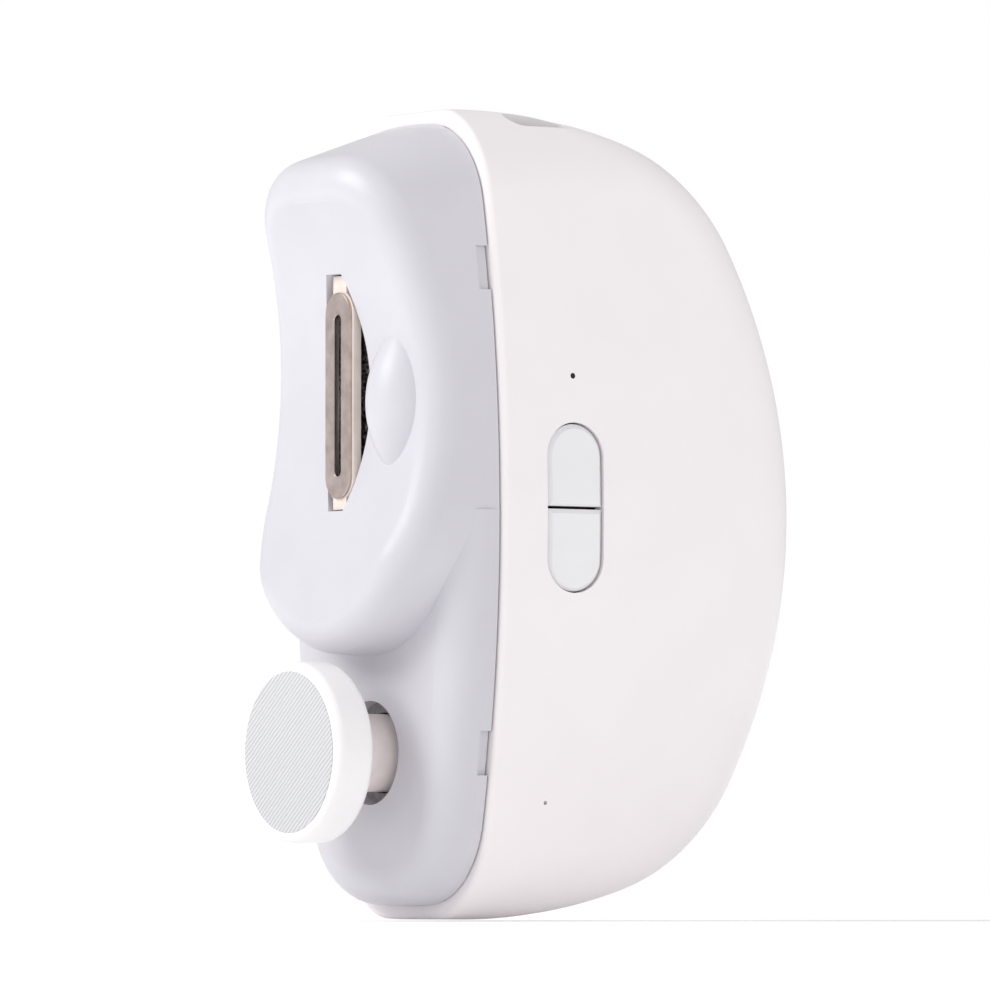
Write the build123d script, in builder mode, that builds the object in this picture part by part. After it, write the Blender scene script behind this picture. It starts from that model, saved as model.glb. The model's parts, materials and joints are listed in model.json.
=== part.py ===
from build123d import *
import os
from math import acos, cos, pi, radians, sin, tan

os.makedirs("parts", exist_ok=True)

# ---------------------------------------------------------------- driving dimensions, mm
# Housing: a white shell in two halves behind the parting plane.
body_height = 98.0
body_width = 40.6
shell_depth = 44.8
shell_wall = 2.0
side_bow_radius = 195.0
end_bow_radius = 80.0
corner_radius = 13.0
outline_headroom = 0.5
crown_radius = 58.0
crown_peak = 4.0
back_radius = 80.0
heel_radius = 24.0
edge_radius = 7.0
rim_radius = 0.8
ledge_width = 1.2
ledge_thick = 0.9
small_gap = 0.1
thread_room = 0.5

# Front cover: the grey piece with the saddle above and the platform below.
rim_step = 0.85
cover_end_drop = 0.75
cover_wall = 2.0
cover_gap = 0.2
cover_travel_room = 0.15
skirt_thick = 1.0
skirt_reach = 2.5
saddle_depth = 9.0
saddle_height = 14.0
saddle_radius = 49.0
saddle_top = 44.0
saddle_bottom = -6.6
lip_depth = 13.6
lip_radius = 12.0
block_reach = 18.5
block_draft = 2.55
crest_fall = 4.65
block_chin = 17.5
chin_draft = 0.8
block_edge_radius = 4.0
platform_depth = 6.0
platform_edge_radius = 4.5
notch_height = 5.3
notch_reach = 1.5
notch_cut = 0.6
notch_spread = 58.2
opening_width = 9.5
opening_end_width = 3.2
opening_length = 28.6
opening_height = 14.5
bump_length = 21.9
bump_radius = 5.4
bump_offset = 9.75
bump_sink = 2.4
bump_height = 13.0

# Deck and chassis inside the shell.
deck_front = 3.0
deck_thick = 1.5
chassis_wall = 1.5
chassis_room = 0.15
bay_room = 0.3
spine_gap = 0.2

# Cutter: a fluted drum behind a slotted guard.
cutter_depth = 7.8
drum_radius = 2.3
drum_length = 20.0
drum_height = 14.15
drum_flutes = 8
drum_flute_depth = 0.5
flute_rake_share = 0.12
flute_heel_share = 0.7
flute_heel_drop = 0.1
drum_steps = 5
drum_step_angle = 16.0
drum_end_room = 0.7
cutter_shaft_radius = 1.0
running_gap = 0.03
drum_room = 0.2
guard_length = 24.9
guard_width = 5.4
guard_thick = 0.4
guard_slot_length = 19.5
guard_slot_width = 1.5
guard_standoff = 0.25
guard_bevel = 0.12
mouth_margin = 0.5
chute_margin = 1.0
neck_plate_thick = 1.1
window_reach = 3.1
frame_neck_width = 6.0
frame_neck_length = 25.4
frame_tab_width = 2.9
frame_tab_length = 28.2
frame_body_width = 8.0
frame_shoulder_depth = 6.7
frame_end_depth = 9.7
frame_end_thick = 2.0
frame_bottom = -5.0
frame_top = 34.0
frame_ear_width = 17.0
frame_ear_thick = 1.5
neck_rim = 0.7
chute_back = 2.9
chute_width = 4.4
shaft_tail = 0.3
bearing_radius = 1.6
bearing_length = 2.0

# Gear train from the cutter motor to the drum.
gear_module = 0.4
pressure_angle = 20.0
cutter_teeth = 14
idler_teeth = 36
pinion_teeth = 14
addendum = 0.36
dedendum = 0.46
backlash = 0.08
gear_top = -7.4
gear_thick = 2.3
gear_side_room = 0.6
flank_steps = 3
idler_pin_radius = 1.0
gear_cover_thick = 1.2
gear_bay_room = 3.3

# Motors: two alike, one for the drum and one for the disc.
motor_diameter = 20.0
motor_flats = 15.0
motor_length = 25.0
motor_can_wall = 0.8
motor_cap_thick = 2.4
motor_boss_radius = 3.0
motor_boss_height = 1.4
motor_shaft_radius = 1.0
motor_screw_spread = 12.6
magnet_setback = 3.0
magnet_length = 13.0
magnet_gap_width = 7.0
air_gap = 0.35
armature_slots = 3
slot_depth = 3.0
slot_width = 1.6
commutator_radius = 2.2
commutator_room = 0.5
terminal_spread = 11.0
terminal_width = 2.4
terminal_thick = 0.5
terminal_reach = 1.5

# Grinding head: hub, disc and abrasive pad on the second motor's shaft.
spindle_drop = 28.9
disc_front = 17.6
disc_thick = 5.4
disc_radius = 10.9
disc_rim_radius = 1.1
disc_gap = 0.05
pad_radius = 9.7
pad_thick = 0.6
pad_recess = 0.5
hub_radius = 4.7
hub_back = 3.0
hub_nose_radius = 2.75
hub_nose_flat = 0.5
hub_nose_length = 2.6
hub_fit = 0.05
hub_grip = 10.0
hub_bevel = 0.4
spindle_hole_radius = 6.3
seal_radius = 8.5
seal_thick = 1.0
seal_room = 0.2

# Buttons, indicator and pinhole on the right side.
button_width = 7.8
button_height = 20.1
button_offset = 10.3
button_centre = 0.43
button_gap = 0.2
button_split = 0.35
button_bevel = 0.55
button_proud = 0.1
button_flange = 0.8
button_flange_thick = 1.0
button_room = 0.3
button_travel = 0.5
button_crown = 0.3
indicator_height = 16.3
indicator_radius = 0.35
indicator_recess = 0.4
guide_radius = 1.0
guide_sleeve_radius = 2.0
guide_sink = 0.6
pinhole_radius = 0.25
pinhole_offset = 8.0
pinhole_drop = 35.0

# Circuit board with its switches, lamp and charging socket.
board_room = 1.0
board_thick = 1.0
board_front = 5.2
board_back = 20.6
board_bottom = -18.0
board_top = 43.0
board_shoulder = 34.0
switch_size = 6.0
switch_height = 3.5
plunger_radius = 1.75
plunger_room = 0.1
plunger_sink = 1.2
led_size = 2.0
led_height = 0.8
led_room = 0.3
socket_width = 8.94
socket_thick = 3.2
socket_length = 7.3
socket_offset = 12.0
socket_mouth = 46.0
socket_base = 1.0
socket_wall = 0.3
socket_room = 0.25
socket_margin = 1.0
tongue_thick = 0.7

# Cell, fasteners.
cell_radius = 8.2
cell_length = 34.2
cell_bottom = -15.0
cell_offset = 30.2
tab_thick = 0.2
tab_width = 5.0
cell_rim_radius = 0.8
cell_room = 0.2
screw_radius = 1.0
screw_head_radius = 1.9
screw_head_height = 1.4
screw_length = 13.0
screw_seat = 6.0
boss_radius = 2.8
small_screw_radius = 0.85
small_head_radius = 1.5
small_screw_length = 4.0
post_radius = 2.0
cross_length_share = 1.4
cross_width_share = 0.3
small_tip = 0.4

# ---------------------------------------------------------------- derived places
# The origin is the middle of the whole object; the parting plane stands part_y in front of it.
disc_reach = disc_front + pad_thick - pad_recess
part_y = -(shell_depth - disc_reach) / 2
half_width = body_width / 2
half_height = body_height / 2

# Datum planes through the middle of the parting plane.
front = Plane((0, part_y, 0), x_dir=(1, 0, 0), z_dir=(0, -1, 0))
side = Plane((0, part_y, 0), x_dir=(0, 1, 0), z_dir=(1, 0, 0))
level = Plane((0, part_y, 0), x_dir=(1, 0, 0), z_dir=(0, 0, 1))

guard_front = cutter_depth + drum_radius + guard_standoff + guard_thick
deck_back = deck_front + deck_thick
plate_bottom = gear_top + gear_side_room
plate_top = plate_bottom + chassis_wall
gear_bottom = gear_top - gear_thick
gear_cover_top = gear_bottom - gear_side_room - small_gap
idler_y = -cutter_depth + gear_module * (cutter_teeth + idler_teeth) / 2
motor_y = idler_y + gear_module * (idler_teeth + pinion_teeth) / 2
board_inner = motor_diameter / 2 + board_room
board_outer = board_inner + board_thick
guide_shoulder = half_width - shell_wall / 2 - guide_sink
spine_front = motor_y + motor_flats / 2 + spine_gap
spine_back = cell_offset - cell_radius - cell_room

screw_places = [(22.5, 38.5), (28.5, 30.5), (34.0, -24.0), (20.0, -41.5)]
frame_screw_places = [(x, z) for x in (-6.3, 6.3) for z in (0.5, 28.5)]
gear_screw_places = [(-8.5, 8.0), (8.5, 8.0)]
board_screw_places = [(8.2, -15.6), (17.6, -15.6), (8.2, 31.5)]


def save(piece, name):
    """Label a finished piece and write it as its own file."""
    piece.part.label = name
    export_step(piece.part, f"parts/{name}.step")


# ---------------------------------------------------------------- housing forms
def body_outline(inset, headroom=outline_headroom):
    """Front view of the housing: bowed sides and ends, round corners."""
    side_centre = side_bow_radius - half_width
    end_centre = end_bow_radius - half_height - headroom
    with BuildSketch() as outline:
        with Locations((-side_centre, 0)):
            Circle(side_bow_radius - inset)
        with Locations((side_centre, 0)):
            Circle(side_bow_radius - inset, mode=Mode.INTERSECT)
        for end in (-1, 1):
            with Locations((0, end * end_centre)):
                Circle(end_bow_radius - inset, mode=Mode.INTERSECT)
        fillet(outline.vertices(), corner_radius - inset)
    return outline.sketch


def shell_profile(inset, reach):
    """Side view of the shell: crowned ends and a bowed back, reaching forward by reach."""
    with BuildSketch() as profile:
        with Locations((shell_depth - back_radius, 0)):
            Circle(back_radius - inset)
        for end in (-1, 1):
            with Locations((crown_peak, end * (half_height - crown_radius))):
                Circle(crown_radius - inset, mode=Mode.INTERSECT)
        with Locations((-reach, 0)):
            Rectangle(2 * shell_depth, body_height, align=(Align.MIN, Align.CENTER), mode=Mode.INTERSECT)
        heels = profile.vertices().filter_by_position(Axis.X, shell_depth / 3, shell_depth)
        fillet(heels, heel_radius - inset)
    return profile.sketch


def housing_form(inset, reach):
    """Solid inside the shell's outer surface, drawn in by inset on every side."""
    with BuildPart() as form:
        with BuildSketch(front.offset(reach)):
            add(body_outline(inset))
        extrude(amount=-(reach + shell_depth))
        with BuildSketch(side):
            add(shell_profile(inset, reach))
        extrude(amount=half_width, both=True, mode=Mode.INTERSECT)
        bent = form.edges().filter_by(GeomType.LINE, reverse=True)
        behind = bent.filter_by_position(Axis.Y, part_y - reach + small_gap, part_y + shell_depth)
        fillet(behind, edge_radius - inset)
    return form.part


outer_form = housing_form(0, 0)
inner_form = housing_form(shell_wall, skirt_reach)
seat_form = housing_form(shell_wall + chassis_room, skirt_reach)


# ---------------------------------------------------------------- shell halves
def pill(width, height, grow):
    """Upright round-ended outline of the button pair, grown by grow on every side."""
    with BuildSketch() as outline:
        with Locations((button_offset, button_centre)):
            SlotOverall(height + 2 * grow, width + 2 * grow, rotation=90)
    return outline.sketch


with BuildPart() as shell_blank:
    add(outer_form)
    rim_edges = shell_blank.faces().sort_by(Axis.Y)[0].edges()
    fillet(rim_edges, rim_radius)
    add(inner_form, mode=Mode.SUBTRACT)
    # A ledge behind the deck holds it against the parting plane.
    with BuildSketch(front.offset(-deck_back)):
        add(body_outline(shell_wall / 2))
        add(body_outline(shell_wall + ledge_width), mode=Mode.SUBTRACT)
    extrude(amount=-ledge_thick)

with BuildPart() as boss_blank:
    with BuildSketch(side):
        with Locations(*screw_places):
            Circle(boss_radius)
    extrude(amount=half_width, both=True)
    add(housing_form(shell_wall / 2, 0), mode=Mode.INTERSECT)

with BuildPart() as left_shell:
    add(shell_blank.part)
    add(boss_blank.part)
    split(bisect_by=Plane.YZ, keep=Keep.BOTTOM)
    # Screws enter from this side and stop on a seat near the middle.
    with BuildSketch(side):
        with Locations(*screw_places):
            Circle(screw_radius + cover_travel_room)
    extrude(amount=-half_width, mode=Mode.SUBTRACT)
    with BuildSketch(side.offset(-screw_seat)):
        with Locations(*screw_places):
            Circle(screw_head_radius + cover_travel_room)
    extrude(amount=-half_width, mode=Mode.SUBTRACT)
save(left_shell, "left_shell")

socket_x = board_inner - socket_thick / 2
with BuildPart() as right_shell:
    add(shell_blank.part)
    add(boss_blank.part)
    split(bisect_by=Plane.YZ, keep=Keep.TOP)
    # Posts for the circuit board and a sleeve for the light guide.
    with BuildSketch(side.offset(board_outer)):
        with Locations(*board_screw_places):
            Circle(post_radius)
    extrude(until=Until.NEXT)
    with BuildSketch(side.offset(board_outer + led_height + 2 * led_room)):
        with Locations((button_offset, indicator_height)):
            Circle(guide_sleeve_radius)
    extrude(until=Until.NEXT)
    # Threads for the case screws and the board screws.
    with BuildSketch(side):
        with Locations(*screw_places):
            Circle(screw_radius)
    extrude(amount=screw_length - screw_seat + thread_room, mode=Mode.SUBTRACT)
    with BuildSketch(side.offset(board_outer)):
        with Locations(*board_screw_places):
            Circle(small_screw_radius)
    extrude(amount=small_screw_length - board_thick + thread_room, mode=Mode.SUBTRACT)
    # Button slot, indicator hole with the guide's bore behind it, and pinhole.
    with BuildSketch(side.offset(board_outer)):
        add(pill(button_width, button_height, button_gap))
    extrude(amount=half_width, mode=Mode.SUBTRACT)
    with BuildSketch(side.offset(board_outer)):
        with Locations((button_offset, indicator_height)):
            Circle(indicator_radius)
        with Locations((pinhole_offset, -pinhole_drop)):
            Circle(pinhole_radius)
    extrude(amount=half_width, mode=Mode.SUBTRACT)
    with BuildSketch(side.offset(board_outer)):
        with Locations((button_offset, indicator_height)):
            Circle(guide_radius)
    extrude(amount=guide_shoulder - board_outer, mode=Mode.SUBTRACT)
    # Mouth of the charging socket in the crown.
    with BuildSketch(level.offset(half_height - 3 * shell_wall)):
        with Locations((socket_x, socket_offset)):
            SlotOverall(socket_width + 2 * socket_room, socket_thick + 2 * socket_room, rotation=90)
    extrude(amount=3 * shell_wall, mode=Mode.SUBTRACT)
save(right_shell, "right_shell")


# ---------------------------------------------------------------- front cover
def saddle_reach(height):
    """Depth of the saddle's arc in front of the parting plane at a height."""
    rise = height - saddle_height
    return saddle_depth + saddle_radius - (saddle_radius**2 - rise**2) ** 0.5


def block_plan(inset, end_drop, chin):
    """Front view of the block: the housing's outline above, half an ellipse below."""
    with BuildSketch() as plan:
        add(body_outline(inset, -end_drop))
        Rectangle(body_width, body_height, align=(Align.CENTER, Align.MAX), mode=Mode.SUBTRACT)
        Ellipse(half_width - inset, chin)
    return plan.sketch


def block_profile(inset):
    """Side view of the block: saddle and lip, drawn in by inset."""
    crest = (-saddle_reach(saddle_top), saddle_top)
    low = -block_chin - shell_wall
    back = 3 * cover_wall
    with BuildSketch() as profile:
        with BuildLine():
            saddle = ThreePointArc(
                (-saddle_reach(saddle_bottom), saddle_bottom), (-saddle_depth, saddle_height), crest
            )
            Polyline(crest, (crest[0], body_height), (back, body_height), (back, low))
            Polyline((back, low), (-lip_depth, low), saddle @ 0)
        make_face()
        fillet(profile.vertices().sort_by_distance(saddle @ 0)[0], lip_radius)
        if inset:
            offset(amount=-inset)
    return profile.sketch


def block_form(inset):
    """The raised block with its saddle, drawn in by inset from the cover's skin."""
    with BuildPart() as block:
        # Walls draft in towards the front, most of all at the top.
        with BuildSketch(front):
            add(block_plan(rim_step + inset, cover_end_drop, block_chin - inset))
        with BuildSketch(front.offset(block_reach)):
            add(block_plan(rim_step + block_draft + inset, crest_fall, block_chin - chin_draft - inset))
        loft(ruled=True)
        with BuildSketch(side):
            add(block_profile(inset))
        extrude(amount=half_width, both=True, mode=Mode.INTERSECT)
        bent = block.edges().filter_by(GeomType.LINE, reverse=True)
        ahead = bent.filter_by_position(Axis.Y, part_y - body_height, part_y - small_gap)
        fillet(ahead, block_edge_radius - inset)
    return block.part


def platform_form(inset):
    """The flat lower part of the cover that the grinding head stands on."""
    with BuildPart() as platform:
        with BuildSketch(front):
            add(body_outline(rim_step + inset, -cover_end_drop))
            Rectangle(body_width, body_height, align=(Align.CENTER, Align.MIN), mode=Mode.SUBTRACT)
        extrude(amount=platform_depth - inset)
        face = platform.faces().sort_by(Axis.Y)[0]
        fillet(face.edges().sort_by(Axis.Z)[:-1], platform_edge_radius - inset)
    return platform.part


def cover_form(inset):
    """Block and platform in one, drawn in by inset from the cover's skin."""
    with BuildPart() as form:
        add(block_form(inset))
        add(platform_form(inset))
    return form.part


def lens(length, width, end_width):
    """Upright barrel outline: two bowed sides cut off square at the ends."""
    sagitta = (width - end_width) / 2
    radius = ((length / 2) ** 2 + sagitta**2) / (2 * sagitta)
    with BuildSketch() as outline:
        for hand in (-1, 1):
            with Locations((hand * (radius - width / 2), 0)):
                Circle(radius, mode=Mode.ADD if hand < 0 else Mode.INTERSECT)
        Rectangle(width, length, mode=Mode.INTERSECT)
    return outline.sketch


# The skirt slides inside the shell's rim.
with BuildPart() as skirt:
    with BuildSketch(front.offset(-skirt_reach)):
        Rectangle(body_width, body_height)
    extrude(amount=skirt_reach + cover_wall / 2)
    add(seat_form, mode=Mode.INTERSECT)
    add(housing_form(shell_wall + chassis_room + skirt_thick, skirt_reach + 1), mode=Mode.SUBTRACT)

with BuildPart() as front_cover:
    add(cover_form(0))
    # Finger bump beside the opening, spun about an upright axis sunk below the saddle.
    bump_plane = front.offset(saddle_depth - bump_sink)
    with BuildSketch(bump_plane):
        with BuildLine():
            low_end = (bump_offset, bump_height - bump_length / 2)
            high_end = (bump_offset, bump_height + bump_length / 2)
            ThreePointArc(low_end, (bump_offset + bump_radius, bump_height), high_end)
            Line(high_end, low_end)
        make_face()
    bump_axis = Axis((bump_offset, part_y - saddle_depth + bump_sink, 0), (0, 0, 1))
    revolve(axis=bump_axis)
    add(cover_form(cover_wall), mode=Mode.SUBTRACT)
    # The back edge stands clear of the shell's rim.
    with BuildSketch(front):
        Rectangle(body_width, body_height)
    extrude(amount=cover_gap, mode=Mode.SUBTRACT)
    add(skirt.part)
    # Opening over the cutter, and the spindle's hole in the platform.
    with BuildSketch(front):
        with Locations((0, opening_height)):
            add(lens(opening_length, opening_width, opening_end_width))
        with Locations((0, -spindle_drop)):
            Circle(spindle_hole_radius)
    extrude(amount=body_width, mode=Mode.SUBTRACT)
    # Pry notches in both sides, against the parting line.
    with BuildSketch(front):
        with GridLocations(0, notch_spread, 1, 2):
            Rectangle(body_width, notch_height)
        add(body_outline(rim_step + notch_cut, -cover_end_drop), mode=Mode.SUBTRACT)
    extrude(amount=cover_gap + notch_reach, mode=Mode.SUBTRACT)
save(front_cover, "front_cover")

# Felt seal behind the platform, round the hub.
with BuildPart() as spindle_seal:
    with BuildSketch(front.offset(platform_depth - cover_wall)):
        with Locations((0, -spindle_drop)):
            Circle(seal_radius)
            Circle(hub_radius + seal_room, mode=Mode.SUBTRACT)
    extrude(amount=-seal_thick)
save(spindle_seal, "spindle_seal")

# ---------------------------------------------------------------- chassis and gear cover
idler_tip = gear_module * idler_teeth / 2 + addendum
gear_bay_half = idler_tip + gear_bay_room
gear_bay_height = plate_bottom - gear_cover_top + gear_cover_thick + bay_room
with BuildPart() as chassis:
    # Deck across the parting plane.
    with BuildSketch(front.offset(-deck_front)):
        Rectangle(body_width, body_height)
    extrude(amount=-deck_thick)
    add(seat_form, mode=Mode.INTERSECT)
    with BuildSketch(front.offset(-deck_front)):
        with Locations((0, plate_bottom)):
            Rectangle(2 * gear_bay_half, gear_bay_height, align=(Align.CENTER, Align.MAX))
    extrude(amount=-deck_thick, mode=Mode.SUBTRACT)
    # Motor plate over the gears, spine behind the cutter motor, and shelves for the cell.
    plate_depth = spine_back - idler_y + 3 * idler_pin_radius
    spine_depth = spine_back - spine_front
    shelf_depth = cell_radius + cell_offset - spine_front
    shelf_bottom = cell_bottom - chassis_wall - cell_room
    shelf_rise = cell_length + chassis_wall + 2 * cell_room
    with BuildSketch(level.offset(plate_bottom)):
        with Locations((0, idler_y - 3 * idler_pin_radius)):
            Rectangle(motor_diameter, plate_depth, align=(Align.CENTER, Align.MIN))
    extrude(amount=chassis_wall)
    with BuildSketch(side):
        with Locations((spine_front, shelf_bottom)):
            Rectangle(spine_depth, shelf_rise + chassis_wall, align=Align.MIN)
    extrude(amount=cell_radius, both=True)
    with BuildSketch(level.offset(shelf_bottom)):
        with Locations((0, spine_front)):
            Rectangle(2 * cell_radius, shelf_depth, align=(Align.CENTER, Align.MIN))
    extrude(amount=chassis_wall)
    with BuildSketch(level.offset(shelf_bottom + shelf_rise)):
        with Locations((0, spine_front)):
            Rectangle(2 * cell_radius, shelf_depth, align=(Align.CENTER, Align.MIN))
    extrude(amount=chassis_wall)
    # Posts for the gear cover.
    with BuildSketch(level.offset(plate_bottom)):
        with Locations(*gear_screw_places):
            Circle(post_radius)
    extrude(amount=-(plate_bottom - gear_cover_top))
    add(seat_form, mode=Mode.INTERSECT)
    # Holes for both motors' bosses and screws.
    with BuildSketch(level.offset(plate_bottom)):
        with Locations((0, motor_y)):
            Circle(motor_boss_radius + small_gap)
            with GridLocations(motor_screw_spread, 0, 2, 1):
                Circle(small_screw_radius)
        with Locations((0, idler_y)):
            Circle(idler_pin_radius)
    extrude(amount=chassis_wall, mode=Mode.SUBTRACT)
    with BuildSketch(front.offset(-deck_front)):
        with Locations((0, -spindle_drop)):
            Circle(motor_boss_radius + small_gap)
            with GridLocations(motor_screw_spread, 0, 2, 1):
                Circle(small_screw_radius)
        with Locations(*frame_screw_places):
            Circle(small_screw_radius)
    extrude(amount=-deck_thick, mode=Mode.SUBTRACT)
    with BuildSketch(level.offset(gear_cover_top)):
        with Locations(*gear_screw_places):
            Circle(small_screw_radius)
    extrude(amount=small_screw_length - gear_cover_thick + thread_room, mode=Mode.SUBTRACT)
save(chassis, "chassis")

with BuildPart() as gear_cover:
    with BuildSketch(level.offset(gear_cover_top)):
        with Locations((0, -cutter_depth + cutter_shaft_radius)):
            depth = gear_screw_places[0][1] + post_radius + cutter_depth - cutter_shaft_radius
            Rectangle(2 * (gear_bay_half - bay_room), depth, align=(Align.CENTER, Align.MIN))
        with Locations(*gear_screw_places):
            Circle(small_screw_radius, mode=Mode.SUBTRACT)
        with Locations((0, idler_y)):
            Circle(idler_pin_radius, mode=Mode.SUBTRACT)
    extrude(amount=-gear_cover_thick)
save(gear_cover, "gear_cover")

# ---------------------------------------------------------------- cutter group
with BuildPart() as cutter_frame:
    # Neck that carries the guard, with a narrow tab at each end of the opening.
    neck_plane = front.offset(guard_front - guard_thick)
    with BuildSketch(neck_plane):
        with Locations((0, drum_height)):
            SlotOverall(frame_neck_length, frame_neck_width, rotation=90)
        with Locations((0, opening_height)):
            Rectangle(frame_tab_width, frame_tab_length)
    extrude(amount=-(guard_front - guard_thick - frame_shoulder_depth))
    # Body round the drum, and ears against the deck.
    frame_middle = (frame_top + frame_bottom) / 2
    frame_height = frame_top - frame_bottom
    with BuildSketch(front.offset(frame_shoulder_depth)):
        with Locations((0, frame_middle)):
            Rectangle(frame_body_width, frame_height)
    extrude(amount=-(frame_shoulder_depth + deck_front))
    for height in (frame_bottom, frame_top - frame_end_thick):
        with BuildSketch(level.offset(height)):
            with Locations((0, -frame_end_depth)):
                Rectangle(frame_body_width, frame_end_depth + deck_front, align=(Align.CENTER, Align.MIN))
        extrude(amount=frame_end_thick)
    with BuildSketch(front.offset(-deck_front)):
        with Locations((0, frame_middle)):
            Rectangle(frame_ear_width, frame_height)
    extrude(amount=frame_ear_thick)
    # Bore for the drum, shaft holes and bearing seats.
    with BuildSketch(level.offset(drum_height - drum_length / 2 - drum_end_room)):
        with Locations((0, -cutter_depth)):
            Circle(drum_radius + drum_room)
    extrude(amount=drum_length + 2 * drum_end_room, mode=Mode.SUBTRACT)
    with BuildSketch(level.offset(frame_bottom)):
        with Locations((0, -cutter_depth)):
            Circle(bearing_radius)
    extrude(amount=bearing_length, mode=Mode.SUBTRACT)
    with BuildSketch(level.offset(frame_top)):
        with Locations((0, -cutter_depth)):
            Circle(bearing_radius)
    extrude(amount=-bearing_length, mode=Mode.SUBTRACT)
    with BuildSketch(level.offset(frame_bottom)):
        with Locations((0, -cutter_depth)):
            Circle(cutter_shaft_radius + drum_room)
    extrude(amount=frame_height, mode=Mode.SUBTRACT)
    # Mouth in front of the drum, and chutes and windows that let clippings out at both sides.
    with BuildSketch(neck_plane):
        with Locations((0, drum_height)):
            SlotOverall(guard_slot_length + 2 * mouth_margin, guard_width - 2 * neck_rim, rotation=90)
    extrude(amount=-(guard_front - guard_thick - cutter_depth), mode=Mode.SUBTRACT)
    with BuildSketch(side.offset(-frame_body_width / 2)):
        with Locations((-chute_back, drum_height)):
            Rectangle(chute_width, drum_length - 2 * chute_margin)
        with Locations((-(guard_front - guard_thick - neck_plate_thick), drum_height)):
            Rectangle(window_reach, drum_length, align=(Align.MIN, Align.CENTER))
    extrude(amount=frame_body_width, mode=Mode.SUBTRACT)
    with BuildSketch(front.offset(-deck_front)):
        with Locations(*frame_screw_places):
            Circle(small_screw_radius)
    extrude(amount=frame_ear_thick, mode=Mode.SUBTRACT)
save(cutter_frame, "cutter_frame")

with BuildPart() as blade_guard:
    with BuildSketch(neck_plane):
        with Locations((0, drum_height)):
            SlotOverall(guard_length, guard_width, rotation=90)
            SlotOverall(guard_slot_length, guard_slot_width, rotation=90, mode=Mode.SUBTRACT)
    extrude(amount=guard_thick)
    chamfer(blade_guard.faces().sort_by(Axis.Y)[0].edges(), guard_bevel)
save(blade_guard, "blade_guard")


def flute_outline(turn):
    """Section of the drum: a ring of raked teeth, turned by an angle in degrees."""
    pitch = 360 / drum_flutes
    points = []
    for tooth in range(drum_flutes):
        start = turn + tooth * pitch
        root = (flute_rake_share, drum_radius - drum_flute_depth)
        heel = (flute_heel_share, drum_radius - flute_heel_drop)
        for share, radius in ((0, drum_radius), root, heel):
            angle = radians(start + share * pitch)
            points.append((radius * cos(angle), radius * sin(angle) - cutter_depth))
    with BuildSketch() as outline:
        with BuildLine():
            Polyline(*points, close=True)
        make_face()
    return outline.sketch


drum_bottom = drum_height - drum_length / 2
with BuildPart() as cutter_drum:
    for step in range(drum_steps + 1):
        with BuildSketch(level.offset(drum_bottom + step * drum_length / drum_steps)):
            add(flute_outline(step * drum_step_angle))
    loft(ruled=True)
    with BuildSketch(level.offset(drum_bottom)):
        with Locations((0, -cutter_depth)):
            Circle(cutter_shaft_radius)
    extrude(amount=drum_length, mode=Mode.SUBTRACT)
save(cutter_drum, "cutter_drum")

with BuildPart() as cutter_shaft:
    with BuildSketch(level.offset(gear_bottom - shaft_tail)):
        with Locations((0, -cutter_depth)):
            Circle(cutter_shaft_radius)
    extrude(amount=frame_top - gear_bottom + shaft_tail)
save(cutter_shaft, "cutter_shaft")

with BuildPart() as cutter_bearings:
    for height in (frame_bottom, frame_top - bearing_length):
        with BuildSketch(level.offset(height)):
            with Locations((0, -cutter_depth)):
                Circle(bearing_radius)
                Circle(cutter_shaft_radius + running_gap, mode=Mode.SUBTRACT)
        extrude(amount=bearing_length)
save(cutter_bearings, "cutter_bearings")


# ---------------------------------------------------------------- gear train
def involute(angle):
    return tan(angle) - angle


def gear_outline(teeth, first_angle):
    """Involute spur gear about the origin; one tooth is centred on first_angle, in degrees."""
    pitch_radius = gear_module * teeth / 2
    base_radius = pitch_radius * cos(radians(pressure_angle))
    tip_radius = pitch_radius + addendum
    root_radius = pitch_radius - dedendum
    start_radius = max(base_radius, root_radius)
    half_at_pitch = (pi * gear_module - backlash) / (4 * pitch_radius)
    half_at_base = half_at_pitch + involute(radians(pressure_angle))
    flank = [(root_radius, half_at_base)] if root_radius < base_radius else []
    for step in range(flank_steps + 1):
        radius = start_radius + (tip_radius - start_radius) * step / flank_steps
        flank.append((radius, half_at_base - involute(acos(base_radius / radius))))
    points = []
    for tooth in range(teeth):
        middle = radians(first_angle) + 2 * pi * tooth / teeth
        for radius, half in flank:
            points.append((radius * cos(middle - half), radius * sin(middle - half)))
        for radius, half in reversed(flank):
            points.append((radius * cos(middle + half), radius * sin(middle + half)))
    with BuildSketch() as outline:
        with BuildLine():
            Polyline(*points, close=True)
        make_face()
    return outline.sketch


# A tooth of the cutter gear and of the pinion each meet a gap of the idler on the line of centres.
gear_plans = {
    "cutter_gear": (-cutter_depth, cutter_teeth, 90.0, cutter_shaft_radius),
    "idler_gear": (idler_y, idler_teeth, 90.0 + 180.0 / idler_teeth, idler_pin_radius + running_gap),
    "drive_pinion": (motor_y, pinion_teeth, 270.0, motor_shaft_radius),
}
for name, (gear_y, teeth, first_angle, bore) in gear_plans.items():
    gear_plane = Plane((0, part_y + gear_y, gear_bottom))
    with BuildPart() as gear:
        with BuildSketch(gear_plane):
            add(gear_outline(teeth, first_angle))
            Circle(bore, mode=Mode.SUBTRACT)
        extrude(amount=gear_thick)
    save(gear, name)

with BuildPart() as idler_pin:
    with BuildSketch(level.offset(plate_top)):
        with Locations((0, idler_y)):
            Circle(idler_pin_radius)
    extrude(amount=-(plate_top - gear_cover_top + gear_cover_thick))
save(idler_pin, "idler_pin")


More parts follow.
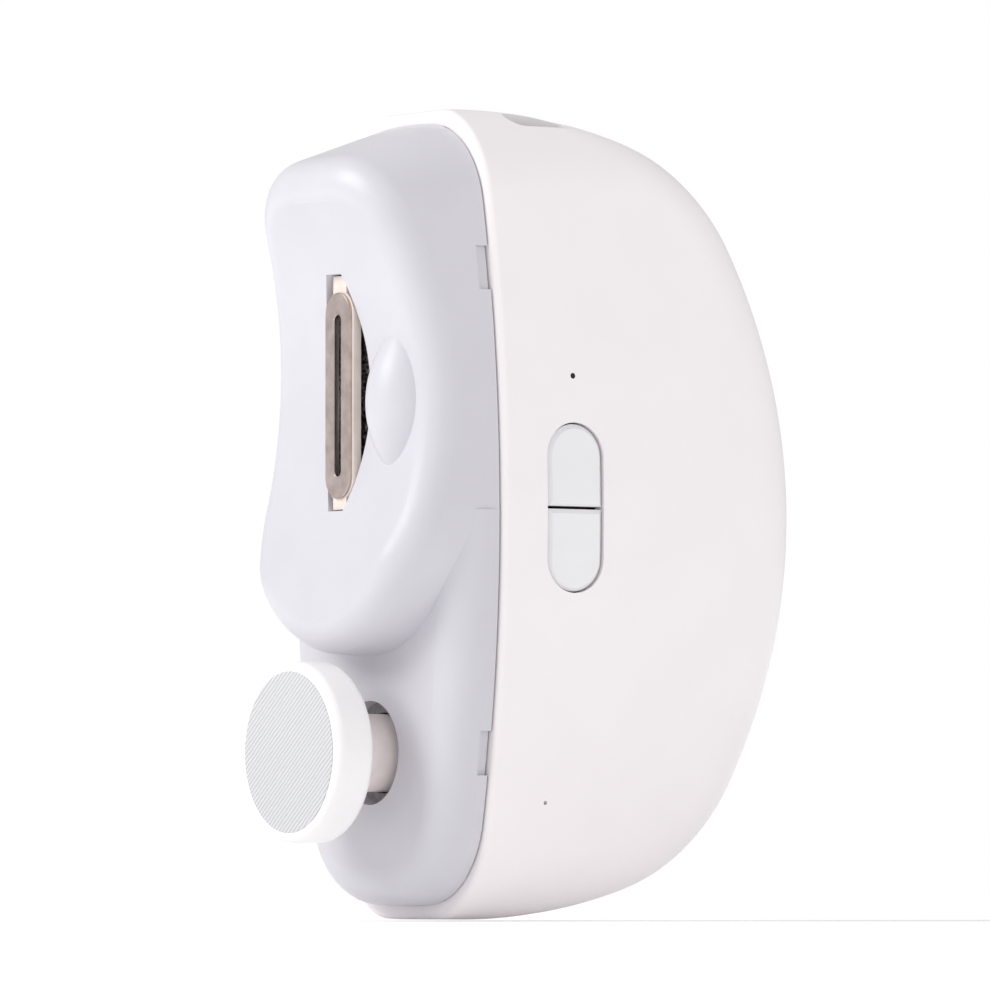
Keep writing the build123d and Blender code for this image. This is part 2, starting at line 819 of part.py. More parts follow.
# ---------------------------------------------------------------- motors
def motor_section(inset):
    """Round can with two flats, drawn in by inset."""
    with BuildSketch() as section:
        Circle(motor_diameter / 2 - inset)
        Rectangle(motor_diameter, motor_flats - 2 * inset, mode=Mode.INTERSECT)
    return section.sketch


def magnet_pair(outer, inner):
    """Two arc magnets facing each other across the armature."""
    with BuildSketch() as pair:
        Circle(outer)
        Circle(inner, mode=Mode.SUBTRACT)
        Rectangle(2 * outer, motor_flats - 2 * motor_can_wall - small_gap, mode=Mode.INTERSECT)
        Rectangle(magnet_gap_width, 2 * outer, mode=Mode.SUBTRACT)
    return pair.sketch


magnet_outer = motor_diameter / 2 - motor_can_wall
armature_radius = motor_flats / 2 - motor_can_wall - air_gap
magnet_inner = armature_radius + air_gap
can_length = motor_length - motor_cap_thick
motor_seats = {
    "cutter": Plane((0, part_y + motor_y, plate_top), x_dir=(1, 0, 0), z_dir=(0, 0, -1)),
    "grinder": Plane((0, part_y + deck_back, -spindle_drop), x_dir=(1, 0, 0), z_dir=(0, -1, 0)),
}
shaft_reaches = {
    "cutter": plate_top - gear_bottom + shaft_tail,
    "grinder": deck_back + hub_back + hub_grip,
}
# Each seat plane is the can's front face, with the shaft coming out along its normal.
for name, seat in motor_seats.items():
    with BuildPart() as motor_can:
        with BuildSketch(seat):
            add(motor_section(0))
        extrude(amount=-can_length)
        with BuildSketch(seat.offset(-motor_can_wall)):
            add(motor_section(motor_can_wall))
        extrude(amount=-can_length, mode=Mode.SUBTRACT)
        with BuildSketch(seat):
            Circle(motor_boss_radius)
        extrude(amount=motor_boss_height)
        with BuildSketch(seat.offset(motor_boss_height)):
            Circle(motor_shaft_radius + running_gap)
        extrude(amount=-can_length, mode=Mode.SUBTRACT)
        with BuildSketch(seat):
            with GridLocations(motor_screw_spread, 0, 2, 1):
                Circle(small_screw_radius)
        extrude(amount=-motor_can_wall, mode=Mode.SUBTRACT)
    save(motor_can, f"{name}_motor_can")

    with BuildPart() as motor_cap:
        with BuildSketch(seat.offset(-can_length)):
            add(motor_section(0))
        extrude(amount=-motor_cap_thick)
        with BuildSketch(seat.offset(-can_length)):
            add(motor_section(motor_can_wall))
        extrude(amount=motor_can_wall)
        with BuildSketch(seat.offset(-motor_length)):
            Circle(motor_shaft_radius + running_gap)
            with GridLocations(terminal_spread, 0, 2, 1):
                Rectangle(terminal_width, terminal_thick)
        extrude(amount=motor_cap_thick + motor_can_wall, mode=Mode.SUBTRACT)
    save(motor_cap, f"{name}_motor_end_cap")

    with BuildPart() as terminals:
        with BuildSketch(seat.offset(-motor_length - terminal_reach)):
            with GridLocations(terminal_spread, 0, 2, 1):
                Rectangle(terminal_width, terminal_thick)
        extrude(amount=terminal_reach + motor_cap_thick)
    save(terminals, f"{name}_motor_terminals")

    with BuildPart() as magnets:
        with BuildSketch(seat.offset(-magnet_setback)):
            add(magnet_pair(magnet_outer, magnet_inner))
        extrude(amount=-magnet_length)
    save(magnets, f"{name}_motor_magnets")

    with BuildPart() as armature:
        with BuildSketch(seat.offset(-magnet_setback)):
            Circle(armature_radius)
            with PolarLocations(armature_radius - slot_depth / 2, armature_slots):
                Rectangle(slot_depth, slot_width, mode=Mode.SUBTRACT)
        extrude(amount=-magnet_length)
        with BuildSketch(seat.offset(-magnet_setback)):
            Circle(commutator_radius)
        extrude(amount=-(can_length - magnet_setback - motor_can_wall - commutator_room))
        with BuildSketch(seat):
            Circle(motor_shaft_radius)
        extrude(amount=-motor_length, mode=Mode.SUBTRACT)
    save(armature, f"{name}_motor_armature")

    with BuildPart() as motor_shaft:
        with BuildSketch(seat.offset(shaft_reaches[name])):
            Circle(motor_shaft_radius)
        extrude(amount=-(shaft_reaches[name] + motor_length - shaft_tail))
    save(motor_shaft, f"{name}_motor_shaft")

# ---------------------------------------------------------------- grinding head
disc_back = disc_front - disc_thick


def nose_outline(grow):
    """D-shaped drive between the hub and the disc, grown by grow all round."""
    with BuildSketch() as outline:
        Circle(hub_nose_radius + grow)
        flat_top = hub_nose_radius - hub_nose_flat + grow
        with Locations((0, flat_top)):
            clear = 4 * hub_nose_radius
            Rectangle(clear, clear, align=(Align.CENTER, Align.MIN), mode=Mode.SUBTRACT)
    return outline.sketch


with BuildPart() as spindle_hub:
    with BuildSketch(front.offset(hub_back)):
        with Locations((0, -spindle_drop)):
            Circle(hub_radius)
    extrude(amount=disc_back - disc_gap - hub_back)
    chamfer(spindle_hub.faces().sort_by(Axis.Y)[-1].edges(), hub_bevel)
    with BuildSketch(front.offset(disc_back - disc_gap)):
        with Locations((0, -spindle_drop)):
            add(nose_outline(0))
    extrude(amount=hub_nose_length)
    with BuildSketch(front.offset(hub_back)):
        with Locations((0, -spindle_drop)):
            Circle(motor_shaft_radius)
    extrude(amount=hub_grip, mode=Mode.SUBTRACT)
save(spindle_hub, "spindle_hub")

with BuildPart() as grinding_disc:
    with BuildSketch(front.offset(disc_back)):
        with Locations((0, -spindle_drop)):
            Circle(disc_radius)
    extrude(amount=disc_thick)
    fillet(grinding_disc.edges(), disc_rim_radius)
    with BuildSketch(front.offset(disc_front)):
        with Locations((0, -spindle_drop)):
            Circle(pad_radius)
    extrude(amount=-pad_recess, mode=Mode.SUBTRACT)
    with BuildSketch(front.offset(disc_back)):
        with Locations((0, -spindle_drop)):
            add(nose_outline(hub_fit))
    extrude(amount=hub_nose_length, mode=Mode.SUBTRACT)
save(grinding_disc, "grinding_disc")

with BuildPart() as abrasive_pad:
    with BuildSketch(front.offset(disc_front - pad_recess)):
        with Locations((0, -spindle_drop)):
            Circle(pad_radius)
    extrude(amount=pad_thick)
save(abrasive_pad, "abrasive_pad")

# ---------------------------------------------------------------- buttons and light guide
cap_centre = (button_height + button_split) / 4
flange_back = half_width - shell_wall - button_crown - button_room - button_flange_thick
for name, hand in (("upper", 1), ("lower", -1)):
    half_plane = (button_offset, button_centre + hand * button_split / 2)
    anchor = (Align.CENTER, Align.MIN if hand > 0 else Align.MAX)
    with BuildPart() as button:
        with BuildSketch(side.offset(flange_back)):
            add(pill(button_width, button_height, 0))
            with Locations(half_plane):
                Rectangle(2 * button_width, button_height, align=anchor, mode=Mode.INTERSECT)
        extrude(amount=half_width)
        with BuildSketch(front):
            add(body_outline(-button_proud))
        extrude(amount=-shell_depth, mode=Mode.INTERSECT)
        chamfer(button.faces().sort_by(Axis.X)[-1].edges(), button_bevel)
        with BuildSketch(side.offset(flange_back)):
            add(pill(button_width, button_height, button_flange))
            with Locations(half_plane):
                Rectangle(2 * button_width, button_height, align=anchor, mode=Mode.INTERSECT)
        extrude(amount=button_flange_thick)
    save(button, f"{name}_button")

    switch_place = (button_offset, button_centre + hand * cap_centre)
    plunger_inner = board_outer + switch_height - plunger_sink
    with BuildPart() as switch:
        with BuildSketch(side.offset(board_outer)):
            with Locations(switch_place):
                Rectangle(switch_size, switch_size)
        extrude(amount=switch_height)
        with BuildSketch(side.offset(plunger_inner - button_travel - plunger_room)):
            with Locations(switch_place):
                Circle(plunger_radius + plunger_room)
        extrude(amount=switch_height, mode=Mode.SUBTRACT)
    save(switch, f"{name}_switch")

    with BuildPart() as plunger:
        with BuildSketch(side.offset(plunger_inner)):
            with Locations(switch_place):
                Circle(plunger_radius)
        extrude(amount=flange_back - plunger_inner)
    save(plunger, f"{name}_plunger")

guide_back = board_outer + led_height + led_room
with BuildPart() as light_guide:
    with BuildSketch(side.offset(guide_back)):
        with Locations((button_offset, indicator_height)):
            Circle(guide_radius)
    extrude(amount=guide_shoulder - guide_back)
    with BuildSketch(side.offset(guide_shoulder)):
        with Locations((button_offset, indicator_height)):
            Circle(indicator_radius)
    extrude(amount=half_width - indicator_recess - button_crown - guide_shoulder)
save(light_guide, "light_guide")

# ---------------------------------------------------------------- circuit board
with BuildPart() as status_led:
    with BuildSketch(side.offset(board_outer)):
        with Locations((button_offset, indicator_height)):
            Rectangle(led_size, led_size)
    extrude(amount=led_height)
save(status_led, "status_led")

with BuildPart() as circuit_board:
    with BuildSketch(side.offset(board_inner)):
        with Locations((board_front, board_bottom)):
            Rectangle(board_back - board_front, board_shoulder - board_bottom, align=Align.MIN)
        with Locations((socket_offset, board_shoulder)):
            tongue_height = board_top - board_shoulder
            Rectangle(socket_width + 2 * socket_margin, tongue_height, align=(Align.CENTER, Align.MIN))
        with Locations(*board_screw_places):
            Circle(small_screw_radius, mode=Mode.SUBTRACT)
    extrude(amount=board_thick)
save(circuit_board, "circuit_board")

with BuildPart() as charging_socket:
    with BuildSketch(level.offset(socket_mouth)):
        with Locations((socket_x, socket_offset)):
            SlotOverall(socket_width, socket_thick, rotation=90)
    extrude(amount=-socket_length)
    with BuildSketch(level.offset(socket_mouth)):
        with Locations((socket_x, socket_offset)):
            SlotOverall(socket_width - 2 * socket_wall, socket_thick - 2 * socket_wall, rotation=90)
    extrude(amount=-(socket_length - socket_base), mode=Mode.SUBTRACT)
save(charging_socket, "charging_socket")

with BuildPart() as socket_tongue:
    with BuildSketch(level.offset(socket_mouth - socket_length + socket_base)):
        with Locations((socket_x, socket_offset)):
            Rectangle(tongue_thick, socket_width - 8 * socket_wall)
    extrude(amount=socket_length - 2 * socket_base)
save(socket_tongue, "socket_tongue")

# ---------------------------------------------------------------- cell
with BuildPart() as battery_cell:
    with BuildSketch(level.offset(cell_bottom)):
        with Locations((0, cell_offset)):
            Circle(cell_radius)
    extrude(amount=cell_length)
    fillet(battery_cell.edges().filter_by(GeomType.CIRCLE), cell_rim_radius)
save(battery_cell, "battery_cell")

with BuildPart() as battery_tabs:
    for height in (cell_bottom - tab_thick, cell_bottom + cell_length):
        with BuildSketch(level.offset(height)):
            with Locations((0, cell_offset)):
                Rectangle(tab_width, cell_radius)
        extrude(amount=tab_thick)
save(battery_tabs, "battery_tabs")


# ---------------------------------------------------------------- screws
def screws(placings, radius, head_radius, length):
    """Pan-head screws; each placing is a plane at the head's seat, facing into the material."""
    with BuildPart() as group:
        for plane, places in placings:
            with BuildSketch(plane):
                with Locations(*places):
                    Circle(radius)
            extrude(amount=length)
            with BuildSketch(plane):
                with Locations(*places):
                    Circle(head_radius)
            extrude(amount=-screw_head_height)
            with BuildSketch(plane.offset(-screw_head_height)):
                with Locations(*places):
                    Rectangle(cross_length_share * head_radius, cross_width_share * head_radius)
                    Rectangle(cross_width_share * head_radius, cross_length_share * head_radius)
            extrude(amount=screw_head_height / 2, mode=Mode.SUBTRACT)
    return group


rear = Plane((0, part_y, 0), x_dir=(-1, 0, 0), z_dir=(0, 1, 0))
motor_spread = motor_screw_spread / 2
cutter_motor_screws = [(-motor_spread, motor_y), (motor_spread, motor_y)]
grinder_motor_screws = [(-motor_spread, -spindle_drop), (motor_spread, -spindle_drop)]
screw_sets = {
    "case_screws": (
        [(side.offset(-screw_seat), screw_places)], screw_radius, screw_head_radius, screw_length
    ),
    "frame_screws": (
        [(rear.offset(deck_front - frame_ear_thick), frame_screw_places)],
        small_screw_radius, small_head_radius, frame_ear_thick + deck_thick + small_gap,
    ),
    "motor_screws": (
        [(level.offset(plate_bottom), cutter_motor_screws), (rear.offset(deck_front), grinder_motor_screws)],
        small_screw_radius, small_head_radius, chassis_wall + motor_can_wall + small_tip,
    ),
    "gear_cover_screws": (
        [(level.offset(gear_cover_top - gear_cover_thick), gear_screw_places)],
        small_screw_radius, small_head_radius, small_screw_length,
    ),
    "board_screws": (
        [(side.offset(board_inner), board_screw_places)],
        small_screw_radius, small_head_radius, small_screw_length,
    ),
}
for name, (placings, radius, head_radius, length) in screw_sets.items():
    save(screws(placings, radius, head_radius, length), name)
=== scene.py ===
import json
import math

import bmesh
import bpy
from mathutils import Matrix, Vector


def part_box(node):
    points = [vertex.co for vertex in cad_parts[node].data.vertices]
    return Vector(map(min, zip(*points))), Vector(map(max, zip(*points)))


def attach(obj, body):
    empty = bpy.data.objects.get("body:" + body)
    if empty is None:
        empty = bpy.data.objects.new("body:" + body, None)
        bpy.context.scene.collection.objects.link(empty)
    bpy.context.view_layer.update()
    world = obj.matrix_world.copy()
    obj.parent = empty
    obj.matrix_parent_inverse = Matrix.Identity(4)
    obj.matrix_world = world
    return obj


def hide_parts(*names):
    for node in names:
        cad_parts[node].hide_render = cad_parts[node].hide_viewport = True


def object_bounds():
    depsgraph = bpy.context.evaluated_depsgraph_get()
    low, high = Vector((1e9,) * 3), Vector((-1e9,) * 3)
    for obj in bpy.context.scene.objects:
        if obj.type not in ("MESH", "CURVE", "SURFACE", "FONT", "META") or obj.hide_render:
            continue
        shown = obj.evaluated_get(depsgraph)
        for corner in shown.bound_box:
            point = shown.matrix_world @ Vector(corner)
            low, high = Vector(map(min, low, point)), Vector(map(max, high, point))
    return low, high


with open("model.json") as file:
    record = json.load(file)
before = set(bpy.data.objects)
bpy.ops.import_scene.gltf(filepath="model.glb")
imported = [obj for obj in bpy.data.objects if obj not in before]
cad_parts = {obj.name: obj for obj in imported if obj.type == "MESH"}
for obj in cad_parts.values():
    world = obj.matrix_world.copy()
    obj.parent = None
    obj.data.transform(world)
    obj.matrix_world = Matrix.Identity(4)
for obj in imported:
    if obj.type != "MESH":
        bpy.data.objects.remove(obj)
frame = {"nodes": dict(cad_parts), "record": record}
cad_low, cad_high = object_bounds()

MM = 0.001
WHITE = (1.0, 1.0, 1.0, 1.0)
# Most of a noise texture's factor lies between these two.
NOISE_LOW = 0.3
NOISE_HIGH = 0.7
NOISE_ROUGHNESS = 0.5
COAT_ROUGHNESS = 0.12
# A wave texture repeats every WAVE_PERIOD / Scale.
WAVE_PERIOD = 2 * math.pi / 20
# Abrasive pad: its ridges, and the grit over them.
RIDGE_PITCH_MM = 0.5
RIDGE_SLANT = math.radians(-52)
RIDGE_WAVER = 1.2
RIDGE_DEPTH_MM = 0.03
GRIT_SIZE_MM = 0.16
GRIT_DEPTH_MM = 0.02
GRIT_SHARE = 0.12
PAD_ROUGHNESS = 0.7
# Cutter drum: grid, flutes and the notches across them.
DRUM_ROWS = 160
DRUM_COLUMNS = 96
DRUM_FLUTES = 8
DRUM_TWIST = 1.8
DRUM_SINK_MM = 0.02
LAND_START = 0.45
LAND_RELIEF = 0.25
FLUTE_DEPTH_MM = 0.75
DRUM_NOTCHES = 11
NOTCH_SHEAR = 0.35
NOTCH_DEPTH = 0.35
NOTCH_WIDTH = 0.22
NOTCH_STAGGER = 0.5
# Floor, whose own light grows from FLOOR_GLOW to FAR_GLOW between two distances in metres.
FLOOR_HALF_SIZE = 4.0
FLOOR_GAP_MM = 0.2
FLOOR_MOTTLE_MM = 60.0
GLOW_START = 0.06
GLOW_END = 0.4
FLOOR_GLOW = 0.1
FAR_GLOW = 0.44
AMBIENT_STRENGTH = 0.62
BACKDROP_STRENGTH = 1.0
# Camera: its direction, its distance in metres, and the lens in mm for each metre of distance.
CAMERA_AZIMUTH = math.radians(56.0)
CAMERA_ELEVATION = math.radians(-2.3)
CAMERA_DISTANCE = 1.15
LENS_PER_METRE = 298.0
CAMERA_SHIFT_X = -0.0091
CAMERA_SHIFT_Y = 0.0226


# ---------------------------------------------------------------- node helpers
def node(tree, kind, inputs=None, **settings):
    """A new shader node with its settings and unlinked inputs set."""
    made = tree.nodes.new(kind)
    for key, value in settings.items():
        setattr(made, key, value)
    for key, value in (inputs or {}).items():
        made.inputs[key].default_value = value
    return made


def link(tree, source, target):
    tree.links.new(source, target)


def rgb(red, green, blue):
    """Linear colour from the 0-255 values seen on a screen."""
    def linear(value):
        share = value / 255
        return share / 12.92 if share <= 0.04045 else ((share + 0.055) / 1.055) ** 2.4
    return (linear(red), linear(green), linear(blue), 1.0)


def new_material(name):
    made = bpy.data.materials.new(name)
    made.use_nodes = True
    tree = made.node_tree
    shader = tree.nodes["Principled BSDF"]
    return made, tree, shader


def noise(tree, where, size_mm, detail=2.0):
    """Noise whose features are about size_mm across, in the piece's own coordinates."""
    inputs = {"Scale": 1 / (size_mm * MM), "Detail": detail, "Roughness": NOISE_ROUGHNESS}
    made = node(tree, "ShaderNodeTexNoise", inputs)
    link(tree, where, made.inputs["Vector"])
    return made.outputs["Fac"]


def spread(tree, factor, low, high):
    """Stretches a noise factor to run from low to high."""
    inputs = {"From Min": NOISE_LOW, "From Max": NOISE_HIGH, "To Min": low, "To Max": high}
    made = node(tree, "ShaderNodeMapRange", inputs)
    link(tree, factor, made.inputs["Value"])
    return made.outputs["Result"]


def blend_colour(tree, factor, first, second):
    made = node(tree, "ShaderNodeMix", data_type="RGBA")
    made.inputs["A"].default_value = first
    made.inputs["B"].default_value = second
    link(tree, factor, made.inputs["Factor"])
    return made.outputs["Result"]


def bump(tree, height, depth_mm, under=None):
    made = node(tree, "ShaderNodeBump", {"Strength": 1.0, "Distance": depth_mm * MM})
    link(tree, height, made.inputs["Height"])
    if under is not None:
        link(tree, under, made.inputs["Normal"])
    return made.outputs["Normal"]


def plastic(name, light, dark, gloss=(0.29, 0.36), grain_mm=0.22, grain_depth=0.004,
            patch_mm=9.0, coat=0.0):
    """Moulded plastic: faint mottling, a fine spark-eroded grain and uneven gloss."""
    made, tree, shader = new_material(name)
    where = node(tree, "ShaderNodeTexCoord").outputs["Object"]
    colour = blend_colour(tree, spread(tree, noise(tree, where, patch_mm), 0, 1), light, dark)
    link(tree, colour, shader.inputs["Base Color"])
    link(tree, spread(tree, noise(tree, where, patch_mm / 4), *gloss), shader.inputs["Roughness"])
    skin = bump(tree, noise(tree, where, grain_mm, 3.0), grain_depth)
    link(tree, skin, shader.inputs["Normal"])
    if coat:
        shader.inputs["Coat Weight"].default_value = coat
        shader.inputs["Coat Roughness"].default_value = COAT_ROUGHNESS
    return made


def metal(name, light, dark, rough=(0.29, 0.42), stretch=(1, 1, 1), grain_mm=0.06,
          grain_depth=0.0015, patch_mm=1.5):
    """Bare metal: grain drawn out along one way, with uneven tarnish."""
    made, tree, shader = new_material(name)
    where = node(tree, "ShaderNodeTexCoord").outputs["Object"]
    turned = node(tree, "ShaderNodeMapping", {"Scale": stretch})
    link(tree, where, turned.inputs["Vector"])
    grain = noise(tree, turned.outputs["Vector"], grain_mm, 3.0)
    colour = blend_colour(tree, spread(tree, noise(tree, where, patch_mm, 4.0), 0, 1), light, dark)
    link(tree, colour, shader.inputs["Base Color"])
    link(tree, spread(tree, grain, *rough), shader.inputs["Roughness"])
    link(tree, bump(tree, grain, grain_depth), shader.inputs["Normal"])
    shader.inputs["Metallic"].default_value = 1.0
    return made


# ---------------------------------------------------------------- materials
shell_white = plastic("shell_white", rgb(251, 245, 247), rgb(249, 243, 245),
                      gloss=(0.3, 0.36), coat=0.15)
cover_grey = plastic("cover_grey", rgb(214, 212, 219), rgb(211, 209, 216),
                     gloss=(0.33, 0.4), grain_mm=0.18)
button_white = plastic("button_white", rgb(243, 242, 244), rgb(240, 239, 241),
                       gloss=(0.29, 0.34), coat=0.2)
holder_cream = plastic("holder_cream", rgb(240, 228, 220), rgb(232, 219, 209),
                       gloss=(0.42, 0.5), patch_mm=2.0)
disc_white = plastic("disc_white", rgb(252, 250, 250), rgb(249, 247, 248),
                     gloss=(0.3, 0.38), patch_mm=5.0)
hub_grey = plastic("hub_grey", rgb(248, 238, 236), rgb(242, 231, 229),
                   gloss=(0.35, 0.45), patch_mm=2.0)
frame_plastic = plastic("frame_plastic", rgb(92, 94, 98), rgb(80, 82, 86),
                        gloss=(0.5, 0.6), grain_depth=0.01)
gear_plastic = plastic("gear_plastic", rgb(238, 234, 222), rgb(228, 223, 208), gloss=(0.38, 0.46))
switch_black = plastic("switch_black", rgb(36, 36, 38), rgb(28, 28, 30), gloss=(0.45, 0.55))
clear_guide = plastic("clear_guide", rgb(28, 28, 30), rgb(20, 20, 22),
                      gloss=(0.1, 0.16), grain_depth=0.0)
led_white = plastic("led_white", rgb(238, 236, 214), rgb(226, 222, 196), gloss=(0.29, 0.36))
board_green = plastic("board_green", rgb(34, 104, 66), rgb(24, 88, 54),
                      gloss=(0.29, 0.36), patch_mm=1.4)
cell_wrap = plastic("cell_wrap", rgb(54, 104, 160), rgb(46, 94, 150),
                    gloss=(0.29, 0.36), patch_mm=4.0)
magnet = plastic("magnet", rgb(54, 54, 58), rgb(44, 44, 48), gloss=(0.5, 0.6))
armature = plastic("armature", rgb(168, 98, 58), rgb(134, 72, 42),
                   gloss=(0.3, 0.45), grain_mm=0.3, patch_mm=0.6)
felt = plastic("felt", rgb(176, 174, 176), rgb(150, 148, 150),
               gloss=(0.9, 1.0), grain_mm=0.3, grain_depth=0.15,
               patch_mm=0.8)
guard_steel = metal("guard_steel", rgb(204, 190, 185), rgb(180, 164, 160), rough=(0.3, 0.42),
                    stretch=(1, 1, 0.08))
cutter_steel = metal("cutter_steel", rgb(132, 124, 122), rgb(40, 38, 40),
                     rough=(0.3, 0.45), patch_mm=0.5)
plain_steel = metal("plain_steel", rgb(202, 202, 204), rgb(180, 180, 184))
brass = metal("brass", rgb(214, 178, 104), rgb(190, 152, 84))
motor_can_steel = metal("motor_can_steel", rgb(208, 210, 212), rgb(186, 189, 192))
nickel = metal("nickel", rgb(214, 210, 202), rgb(194, 190, 182))


def abrasive():
    """Abrasive film: fine parallel ridges at a slant, broken by grit."""
    made, tree, shader = new_material("abrasive_mesh")
    where = node(tree, "ShaderNodeTexCoord").outputs["Object"]
    turned = node(tree, "ShaderNodeMapping", {"Rotation": (0, RIDGE_SLANT, 0)})
    link(tree, where, turned.inputs["Vector"])
    inputs = {"Scale": WAVE_PERIOD / (RIDGE_PITCH_MM * MM), "Distortion": RIDGE_WAVER}
    ridges = node(tree, "ShaderNodeTexWave", inputs, bands_direction="X")
    link(tree, turned.outputs["Vector"], ridges.inputs["Vector"])
    grit = noise(tree, where, GRIT_SIZE_MM, 3.0)
    colour = blend_colour(tree, ridges.outputs["Fac"], rgb(188, 188, 191), rgb(226, 226, 228))
    speckled = node(tree, "ShaderNodeMix", {"Factor": GRIT_SHARE}, data_type="RGBA")
    link(tree, colour, speckled.inputs["A"])
    link(tree, blend_colour(tree, spread(tree, grit, 0, 1), rgb(180, 180, 184), rgb(236, 236, 237)),
         speckled.inputs["B"])
    link(tree, speckled.outputs["Result"], shader.inputs["Base Color"])
    skin = bump(tree, ridges.outputs["Fac"], RIDGE_DEPTH_MM)
    link(tree, bump(tree, grit, GRIT_DEPTH_MM, under=skin), shader.inputs["Normal"])
    shader.inputs["Roughness"].default_value = PAD_ROUGHNESS
    return made


abrasive_mesh = abrasive()

# ---------------------------------------------------------------- finishes for the CAD nodes
finishes = {
    "shell_white": shell_white, "cover_grey": cover_grey, "button_white": button_white,
    "holder_cream": holder_cream, "disc_white": disc_white, "abrasive_mesh": abrasive_mesh,
    "hub_grey": hub_grey, "guard_steel": guard_steel, "cutter_steel": cutter_steel,
    "plain_steel": plain_steel, "brass": brass, "frame_plastic": frame_plastic,
    "gear_plastic": gear_plastic, "motor_can_steel": motor_can_steel, "magnet": magnet,
    "armature": armature, "board_green": board_green, "switch_black": switch_black,
    "clear_guide": clear_guide, "led_white": led_white, "cell_wrap": cell_wrap,
    "nickel": nickel, "felt": felt,
}
slot_of = {part["node"]: part["material_slot"] for part in frame["record"]["subparts"]}
for name, piece in frame["nodes"].items():
    for place in piece.material_slots:
        place.material = finishes[slot_of[name]]
    if not piece.material_slots:
        piece.data.materials.append(finishes[slot_of[name]])


# ---------------------------------------------------------------- serrated cutter drum
def cutter_drum():
    """Helical milling drum with raked flutes and chip-breaker notches ground across its lands."""
    low_corner, high_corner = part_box("cutter_drum")
    middle = (low_corner + high_corner) / 2
    radius = (high_corner.x - low_corner.x) / 2 - DRUM_SINK_MM * MM
    length = high_corner.z - low_corner.z
    shape = bmesh.new()
    rings = []
    for row in range(DRUM_ROWS + 1):
        height = low_corner.z + length * row / DRUM_ROWS
        ring = []
        for column in range(DRUM_COLUMNS):
            turn = 2 * math.pi * column / DRUM_COLUMNS
            flute = (DRUM_FLUTES * turn / (2 * math.pi) + DRUM_TWIST * row / DRUM_ROWS) % 1.0
            if flute < LAND_START:
                rise = flute / LAND_START
            else:
                rise = 1.0 - (flute - LAND_START) * LAND_RELIEF
            stagger = int(DRUM_FLUTES * turn) * NOTCH_STAGGER
            breaker = (DRUM_NOTCHES * row / DRUM_ROWS + flute * NOTCH_SHEAR + stagger) % 1.0
            notch = NOTCH_DEPTH * max(0.0, 1.0 - abs(breaker - 0.5) / NOTCH_WIDTH)
            reach = radius - FLUTE_DEPTH_MM * MM * (1.0 - rise) - notch * MM * rise
            across = middle.x + reach * math.cos(turn)
            along = middle.y + reach * math.sin(turn)
            ring.append(shape.verts.new((across, along, height)))
        rings.append(ring)
    for under, over in zip(rings, rings[1:]):
        for column in range(DRUM_COLUMNS):
            beside = (column + 1) % DRUM_COLUMNS
            shape.faces.new((under[column], under[beside], over[beside], over[column]))
    shape.faces.new(list(reversed(rings[0])))
    shape.faces.new(rings[-1])
    mesh = bpy.data.meshes.new("serrated_drum")
    shape.to_mesh(mesh)
    shape.free()
    piece = bpy.data.objects.new("serrated_drum", mesh)
    bpy.context.scene.collection.objects.link(piece)
    piece.data.materials.append(cutter_steel)
    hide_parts("cutter_drum")
    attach(piece, "cutter")


cutter_drum()

# ---------------------------------------------------------------- floor, light and camera
floor_mesh = bpy.data.meshes.new("floor")
shape = bmesh.new()
bmesh.ops.create_grid(shape, x_segments=4, y_segments=4, size=FLOOR_HALF_SIZE)
shape.to_mesh(floor_mesh)
shape.free()
floor = bpy.data.objects.new("floor", floor_mesh)
floor.location = (0, 0, cad_low.z - FLOOR_GAP_MM * MM)
bpy.context.scene.collection.objects.link(floor)
floor_paint, floor_tree, floor_shader = new_material("floor_paint")
floor_where = node(floor_tree, "ShaderNodeTexCoord").outputs["Object"]
floor_mottle = noise(floor_tree, floor_where, FLOOR_MOTTLE_MM)
floor_colour = blend_colour(floor_tree, floor_mottle, rgb(252, 252, 252), rgb(250, 250, 250))
link(floor_tree, floor_colour, floor_shader.inputs["Base Color"])
floor_shader.inputs["Roughness"].default_value = 1.0
floor_shader.inputs["Emission Color"].default_value = WHITE
# A little light of its own, more of it far out, lets the floor run into the white backdrop.
far_out = node(floor_tree, "ShaderNodeVectorMath", operation="LENGTH")
link(floor_tree, floor_where, far_out.inputs[0])
glow_range = {"From Min": GLOW_START, "From Max": GLOW_END, "To Min": FLOOR_GLOW, "To Max": FAR_GLOW}
glow = node(floor_tree, "ShaderNodeMapRange", glow_range)
link(floor_tree, far_out.outputs["Value"], glow.inputs["Value"])
link(floor_tree, glow.outputs["Result"], floor_shader.inputs["Emission Strength"])
floor_shader.inputs["Specular IOR Level"].default_value = 0.0
floor.data.materials.append(floor_paint)

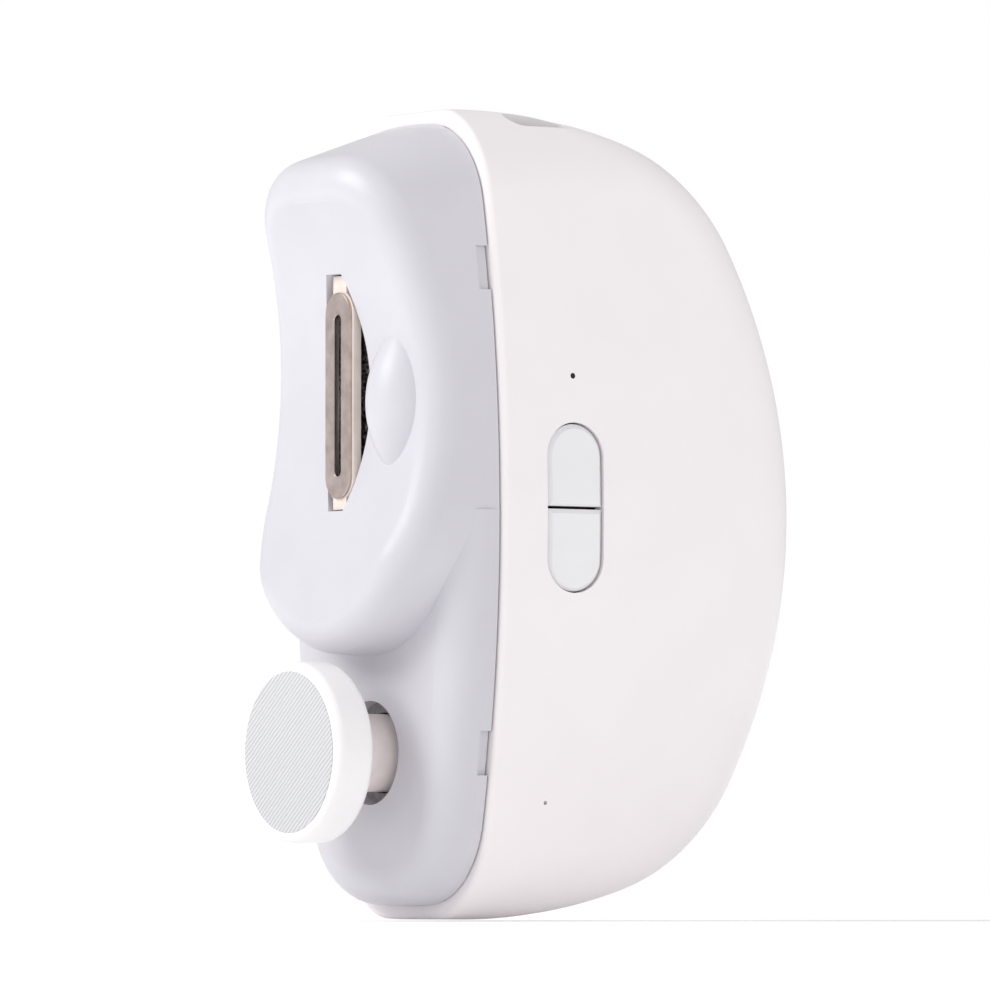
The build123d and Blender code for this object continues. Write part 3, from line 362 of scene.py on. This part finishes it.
world = bpy.data.worlds.new("studio")
bpy.context.scene.world = world
world.use_nodes = True
backdrop = world.node_tree.nodes["Background"]
backdrop.inputs["Color"].default_value = WHITE
# The camera sees a full white backdrop, while the object is lit by less than that.
seen = node(world.node_tree, "ShaderNodeLightPath").outputs["Is Camera Ray"]
ambient_range = {"To Min": AMBIENT_STRENGTH, "To Max": BACKDROP_STRENGTH}
ambient = node(world.node_tree, "ShaderNodeMapRange", ambient_range)
link(world.node_tree, seen, ambient.inputs["Value"])
link(world.node_tree, ambient.outputs["Result"], backdrop.inputs["Strength"])
bpy.context.scene.view_settings.view_transform = "Standard"


def direction(azimuth, elevation):
    """Unit vector towards a place seen from the middle of the object, azimuth 0 in front of it."""
    return Vector((
        math.sin(azimuth) * math.cos(elevation),
        -math.cos(azimuth) * math.cos(elevation),
        math.sin(elevation),
    ))


away = direction(CAMERA_AZIMUTH, CAMERA_ELEVATION)
camera_data = bpy.data.cameras.new("camera")
camera = bpy.data.objects.new("camera", camera_data)
camera.location = away * CAMERA_DISTANCE
camera.rotation_mode = "QUATERNION"
camera.rotation_quaternion = (-away).to_track_quat("-Z", "Y")
camera_data.lens = LENS_PER_METRE * CAMERA_DISTANCE
camera_data.shift_x = CAMERA_SHIFT_X
camera_data.shift_y = CAMERA_SHIFT_Y
camera_data.clip_start = 0.01
camera_data.clip_end = 20.0
bpy.context.scene.collection.objects.link(camera)
bpy.context.scene.camera = camera


def softbox(name, azimuth, elevation, distance, size, power):
    """Square area light aimed at the object."""
    lamp = bpy.data.lights.new(name, "AREA")
    lamp.shape = "SQUARE"
    lamp.size = size
    lamp.energy = power
    made = bpy.data.objects.new(name, lamp)
    toward = direction(math.radians(azimuth), math.radians(elevation))
    made.location = toward * distance
    made.rotation_mode = "QUATERNION"
    made.rotation_quaternion = (-toward).to_track_quat("-Z", "Y")
    bpy.context.scene.collection.objects.link(made)


softbox("key", azimuth=-20.0, elevation=35.0, distance=0.9, size=0.5, power=4.2)
softbox("fill", azimuth=95.0, elevation=30.0, distance=1.0, size=0.6, power=1.0)
